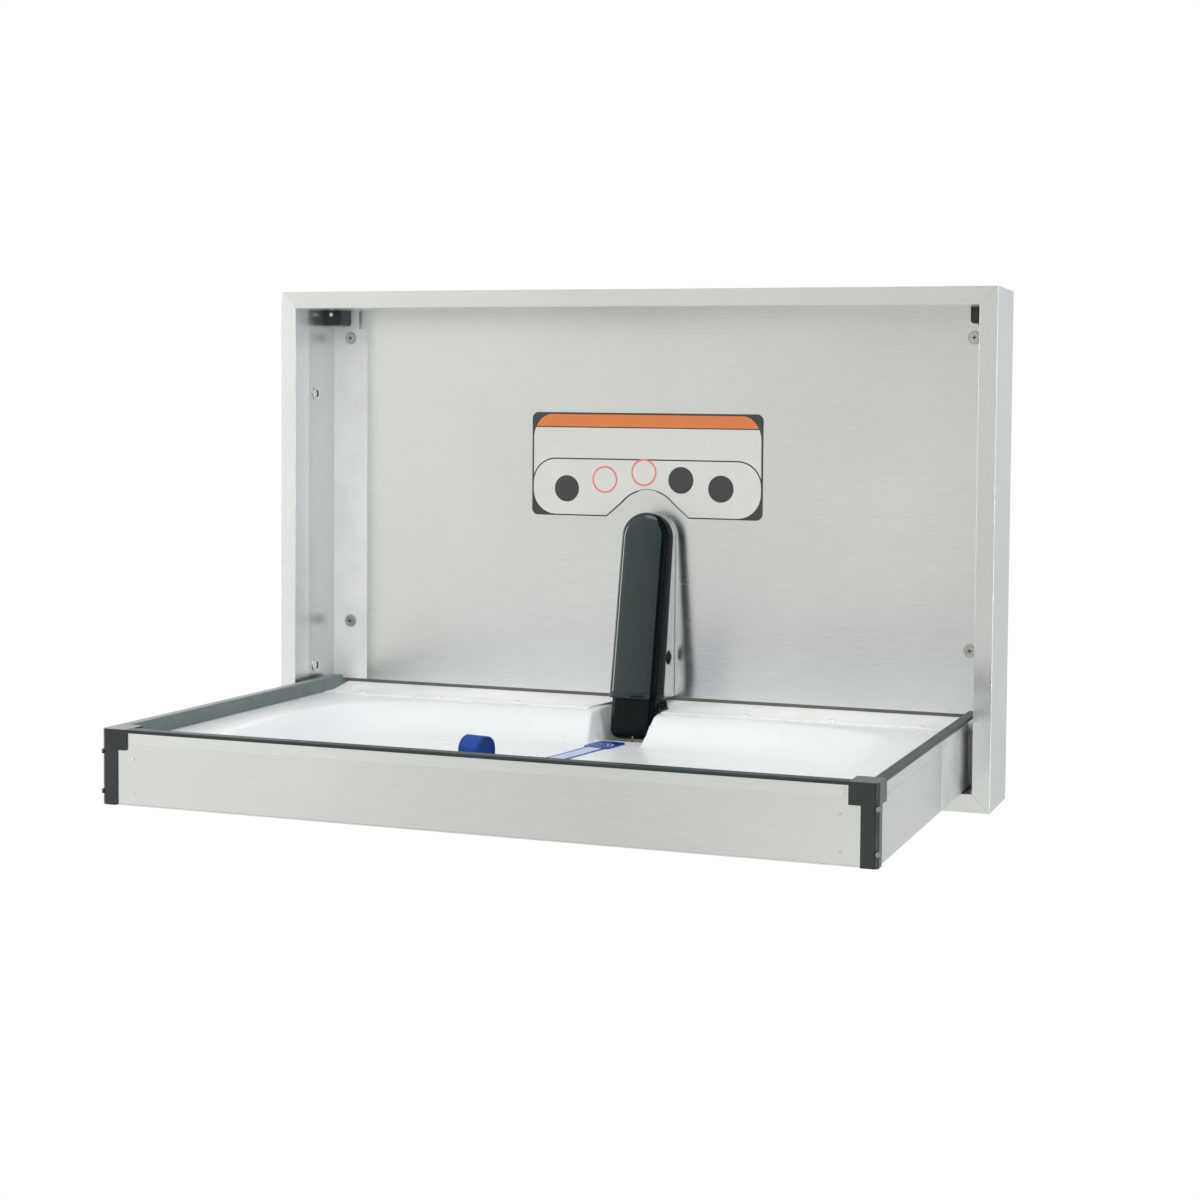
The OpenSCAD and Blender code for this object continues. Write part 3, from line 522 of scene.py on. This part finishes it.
print_on("plate_border", [with_cut(rounded(-151, 151, 313.25, 440.25, 8), 0)],
         PLATE_OUT, INK, BORDER, ["notice_plate"])
print_on("plate_band", [across_plate(148.6, 423, 437.9)], INK, INK + 0.08, ORANGE)
print_on("plate_panel", [across_plate(148.8, 345, 421.6)], INK, INK + 0.08, PALE)
print_on("plate_field_line", [with_cut(rounded(-150.4, 150.4, 314, 384.3, 31), 0.8)],
         INK + 0.08, INK + 0.12, BORDER)
print_on("plate_field", [with_cut(rounded(-148.8, 148.8, 314.9, 382.6, 29.5), 1.6)],
         INK + 0.12, INK + 0.16, PALE)
DISCS = [(-104, 346.5), (46.4, 359.5), (98, 350)]
RINGS = [(-53.3, 358.5), (-1.9, 368)]
for name, places, r, rise, material in (("plate_discs", DISCS, 16.3, 0.16, BORDER),
                                        ("plate_rings", RINGS, 16.6, 0.16, RED),
                                        ("plate_ring_middles", RINGS, 14.4, 0.2, PALE)):
    print_on(name, [arc(x, up, r, 0, 352, 44) for x, up in places], INK + rise, INK + rise + 0.04, material)


def bar(name, corners, material, body, edge=0):
    """Flat-sided sheets between pairs of corners, with softened edges; corners are (x, out, up)."""
    points, faces = [], []
    for (x0, d0, z0), (x1, d1, z1) in corners:
        first = len(points)
        points += [at(x, d, z) for x in (x0, x1) for d in (d0, d1) for z in (z0, z1)]
        faces += [tuple(first + i for i in f) for f in
                  ((0, 1, 3, 2), (4, 6, 7, 5), (0, 4, 5, 1), (2, 3, 7, 6), (0, 2, 6, 4), (1, 5, 7, 3))]
    made = piece(name, points, faces, material, body, (), None, 30)
    if edge:
        soft = made.modifiers.new("edge", "BEVEL")
        soft.width = edge / 1000
        soft.segments = 2
        soft.harden_normals = True
    return made


# Flanges of the left side wall on the back panel, whitened as a painted highlight; a grey strip of painted
# shade behind the bed; and black crosses of painted shade in the wall screws' recesses
bar("wall_flanges", [((-431.4, 1.2, 19.5), (-395, 1.4, 564.7)), ((-395, 1.2, 23), (-383, 1.3, 543))],
    BRIGHT, "cabinet", 0.05)
bar("foot_shade_strip", [((-424, 1.42, 88), (-383, 1.7, 95.5)), ((-382.9, 1.2, 88), (424, 1.5, 95.5))],
    SHADE_STRIP, "cabinet")
SCREWS = [(side * 406.4, z) for side in (-1, 1) for z in (169.5, 531.5)]
bar("screw_recess_shade", [box for x, z in SCREWS for box in
                       (((x - 2.6, 2.9, z - 0.55), (x + 2.6, 3.0, z + 0.55)),
                        ((x - 0.55, 2.9, z - 2.6), (x + 0.55, 3.0, z + 2.6)))], BLACK, "cabinet")

# The bed's laps: the front sheet's folded edge, in lighter steel as a painted highlight, and the side
# sheets' front and rear parts
bar("front_fold", [((-388, 450.4, 86.5), (388, 450.75, 99.4))], STEEL_FOLD_LIT, "bed", 0.17)
bar("side_laps", [((side * 419, 192.5, 22.4), (side * 419.5, 438, 84.6)) for side in (-1, 1)],
    STEEL_Y, "bed", 0.2)
bar("side_rears", [((side * 419, 62, 22.4), (side * 419.3, 192, 96)) for side in (-1, 1)], WORN, "bed")


def beads(name, places, r, material, body, way):
    """Low round bosses on a sheet; way is x for a sheet that faces aside and y for one that faces out."""
    points, faces = [], []
    for x, d, z in places:
        first = len(points)
        for share, rise in ((1, 0), (0.8, 0.12), (0.45, 0.2)):
            for i in range(16):
                level_r, turn = r * share, math.tau * i / 16
                c, s = math.cos(turn) * level_r, math.sin(turn) * level_r
                points.append(at(x + c, d + rise, z + s) if way == "y" else
                              at(x + math.copysign(rise, x), d + c, z + s))
        for ring in (first, first + 16):
            faces += [(ring + i, ring + (i + 1) % 16, ring + 16 + (i + 1) % 16, ring + 16 + i)
                      for i in range(16)]
        faces.append(tuple(first + 32 + i for i in range(16)))
    return piece(name, points, faces, material, body, (), None, 60)


beads("front_welds", [(side * 384, 450.4, z) for side in (-1, 1) for z in (35, 71)],
      1.7, CHROME, "bed", "y")
beads("side_welds", [(side * 419.5, 432, z) for side in (-1, 1) for z in (36, 72)], 1.7, CHROME, "bed", "x")
beads("corner_plugs", [(side * 420.5, 25.2, 560) for side in (-1, 1)], 2.6, LINER, "cabinet", "y")


def wire(name, route, r, material, body, stands_for=()):
    """A round wire along a route in metres."""
    curve = bpy.data.curves.new(name, "CURVE")
    curve.dimensions = "3D"
    curve.bevel_depth = r / 1000
    curve.bevel_resolution = 3
    curve.use_fill_caps = True
    line = curve.splines.new("POLY")
    line.points.add(len(route) - 1)
    for point, place in zip(line.points, route):
        point.co = (*place, 1)
    curve.materials.append(material)
    made = bpy.data.objects.new(name, curve)
    bpy.context.scene.collection.objects.link(made)
    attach(made, body)
    if stands_for:
        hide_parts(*stands_for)
    return made


# The copper pin hangs out of the sleeve's lower end
pin_front = sleeve_front(LOW) + 1
hook = [(pin_front, LOW + 4 - i) for i in range(6)]
hook += [(pin_front - 2 + 2 * math.cos(math.radians(a)), LOW - 1.5 - 2 * math.sin(math.radians(a)))
         for a in range(15, 181, 15)]
wire("split_pin_wire", [on_strut(4.8, d, up) for d, up in hook], 0.8, COPPER, "strut_lower", ["split_pin"])


# The strap: webbing laid on the dish, and a loop that stands up
TURN = math.radians(10.3)
STRAP_X, STRAP_OUT = 3.5, 97
WEB = 25.4


def on_strap(side, along, up):
    """A point in metres from the strap's own frame, whose origin is the pad's rear edge."""
    return at(STRAP_X + side * math.cos(TURN) - along * math.sin(TURN),
              STRAP_OUT + side * math.sin(TURN) + along * math.cos(TURN), FLOOR + up)


def ribbon(name, route, material, stands_for):
    """A length of webbing along a route of (along, up)."""
    shares = [-0.5, -0.44, -0.36, 0, 0.36, 0.44, 0.5]
    points = [on_strap(WEB * share, along, up) for along, up in route for share in shares]
    made = piece(name, points, grid_faces(len(route), len(shares)), material, "bed", stands_for, None, 70)
    wall = made.modifiers.new("wall", "SOLIDIFY")
    wall.thickness = 0.0013
    wall.offset = 1
    return made


# Where the line along each edge fades in, in metres from the webbing's middle, and its ribs' scale
LINE_FROM, LINE_TO, RIBS = 0.0088, 0.0096, 260


def woven(name, middle, edge, gloss, sheen):
    """Strap webbing: fine ribs across it and a coloured line along each edge."""
    made, tree, shader = blank(name)
    where = add(tree, "ShaderNodeTexCoord").outputs["Object"]
    place = add(tree, "ShaderNodeMapping",
                {"Vector": where, "Location": (-STRAP_X / 1000, STRAP_OUT / 1000, 0)}, vector_type="POINT")
    spun = add(tree, "ShaderNodeMapping", {"Vector": place.outputs[0], "Rotation": (0, 0, TURN)})
    split = add(tree, "ShaderNodeSeparateXYZ", {"Vector": spun.outputs[0]})
    off = add(tree, "ShaderNodeMath", {0: split.outputs["X"]}, operation="ABSOLUTE")
    line = add(tree, "ShaderNodeMapRange",
               {"Value": off.outputs[0], "From Min": LINE_FROM, "From Max": LINE_TO})
    tree.links.new(tint(tree, line.outputs[0], middle, edge), shader.inputs["Base Color"])
    rib = add(tree, "ShaderNodeTexWave", {"Vector": spun.outputs[0], "Scale": RIBS, "Distortion": 0.4},
              bands_direction="Y")
    raised = add(tree, "ShaderNodeBump",
                 {"Height": rib.outputs["Fac"], "Strength": 0.35, "Distance": 0.0002})
    tree.links.new(raised.outputs["Normal"], shader.inputs["Normal"])
    shader.inputs["Roughness"].default_value = gloss
    shader.inputs["Sheen Weight"].default_value = sheen
    shader.inputs["Specular IOR Level"].default_value = 0.25
    return made


WEB_PALE = woven("webbing_pale", "#b9c0df", "#2a52a8", 0.5, 0.15)
WEB_BLUE = woven("webbing_blue", "#003f92", "#003680", 0.5, 0)
# The loop ends a little behind the foot of the dish's front slope
SLOPE_FOOT = DISH[2] + DISH[1] - DISH[3]
LOOP_DEEP, LOOP_LEG, LOOP_R = 28, 33, 13.2
LOOP_AT = (SLOPE_FOOT - 11.2 - STRAP_OUT) / math.cos(TURN) - LOOP_DEEP
PAD_END = 36
flat_route = [(along, 0.7 + 0.25 * math.sin(along / 17)) for along in steps(PAD_END, 4, LOOP_AT - 1)]
webbing = ribbon("strap_run", flat_route, WEB_PALE, ["strap_webbing"])
near_leg = [(LOOP_AT + LOOP_DEEP / 2 - LOOP_R, up) for up in steps(0.2, 4, LOOP_LEG)]
over_top = [(LOOP_AT + LOOP_DEEP / 2 - LOOP_R * math.cos(math.radians(a)),
             LOOP_LEG + LOOP_R * math.sin(math.radians(a))) for a in range(10, 171, 10)]
far_leg = [(LOOP_AT + LOOP_DEEP / 2 + LOOP_R, up) for up in reversed(steps(0.7, 4, LOOP_LEG))]
loop = ribbon("strap_hoop", near_leg + over_top + far_leg, WEB_BLUE, ["strap_loop"])


# Camera and lights

def aim(yaw, pitch, roll):
    """Axes of a camera that looks into the wall, turned to the left, up and about its view."""
    ahead = Vector((-math.sin(yaw) * math.cos(pitch), math.cos(yaw) * math.cos(pitch), math.sin(pitch)))
    right = Vector((math.cos(yaw), math.sin(yaw), 0))
    up = right.cross(ahead)
    turned = right * math.cos(roll) + up * math.sin(roll)
    return Matrix((turned, up * math.cos(roll) - right * math.sin(roll), -ahead)).transposed().to_4x4()


# The camera's place in millimetres, its turns in radians, and how far its frame is shifted
EYE_AT = (840.8, 2010.6, 429)
EYE_TURNS = (0.2816, -0.0421, 0.0133)
EYE_SHIFT = (-0.2083, -0.0833)
eye = bpy.data.cameras.new("camera")
eye.sensor_width = 36
eye.lens = 53.33
eye.shift_x, eye.shift_y = EYE_SHIFT
camera = bpy.data.objects.new("camera", eye)
bpy.context.scene.collection.objects.link(camera)
camera.matrix_world = Matrix.Translation(at(*EYE_AT)) @ aim(*EYE_TURNS)
bpy.context.scene.camera = camera
bpy.context.scene.view_settings.view_transform = "Standard"


def lamp(name, place, target, size, power):
    """A soft white rectangular light, in metres, aimed at a point."""
    data = bpy.data.lights.new(name, "AREA")
    data.shape = "RECTANGLE"
    data.size, data.size_y = size
    data.energy = power
    made = bpy.data.objects.new(name, data)
    bpy.context.scene.collection.objects.link(made)
    made.location = place
    made.rotation_euler = (Vector(target) - Vector(place)).to_track_quat("-Z", "Y").to_euler()


lamp("left_strip", (-1.7, -0.7, -0.05), (0, -0.1, 0), (0.2, 1.8), 10.5)
lamp("right_strip", (2.0, -1.0, 0), (0, -0.1, 0), (0.25, 1.8), 16)
lamp("top", (0.2, -0.9, 2.4), (0, -0.2, 0), (2.4, 1.0), 16.5)
lamp("spark", (1.7, -2.6, 1.5), (0.01, -0.05, 0), (0.25, 0.25), 6)

world = bpy.data.worlds.new("studio")
bpy.context.scene.world = world
world.use_nodes = True
sky = world.node_tree
path = add(sky, "ShaderNodeLightPath")
way = add(sky, "ShaderNodeTexCoord").outputs["Generated"]
ways = add(sky, "ShaderNodeSeparateXYZ", {"Vector": way})


def glow(side, start, end, low, high):
    """A strength that changes smoothly with one part of the direction."""
    return add(sky, "ShaderNodeMapRange", {"Value": ways.outputs[side], "From Min": start, "From Max": end,
                                           "To Min": low, "To Max": high},
               interpolation_type="SMOOTHSTEP").outputs["Result"]


def both(operation, first, second):
    """Two strengths together."""
    return add(sky, "ShaderNodeMath", {0: first, 1: second}, operation=operation).outputs[0]


# What the steel mirrors, set to the photograph: a brighter left, right and rear, and low on the left a
# dark and a bright band for the bed's front sheet
side = both("ADD", glow("X", -0.75, 0.05, 0.42, 0), glow("Y", -0.3, 0.6, 0, 0.12))
side = both("ADD", side, glow("X", 0.1, 0.6, 0, 0.2))
low = both("ADD", glow("X", -0.62, -0.44, 0, -0.16), glow("X", -0.4, -0.24, 0, 0.5))
low = both("ADD", low, glow("X", -0.02, 0.2, 0, -0.34))
low = both("MULTIPLY", low, glow("Z", -0.24, -0.1, 1, 0))
strength = both("ADD", both("ADD", side, low), glow("Z", -0.4, 0.8, 0.5, 0.75))
seen = path.outputs["Is Camera Ray"]
level = add(sky, "ShaderNodeMix", {"Factor": seen, 2: strength, 3: 1.0}, data_type="FLOAT")
sky.links.new(level.outputs[0], sky.nodes["Background"].inputs["Strength"])
cooler = tint(sky, glow("X", -0.2, 0.7, 0, 1), "#fffffb", "#f4faff")
hue = add(sky, "ShaderNodeMix", {"Factor": seen, 6: cooler}, data_type="RGBA")
hue.inputs[7].default_value = (1, 1, 1, 1)
sky.links.new(hue.outputs[2], sky.nodes["Background"].inputs["Color"])
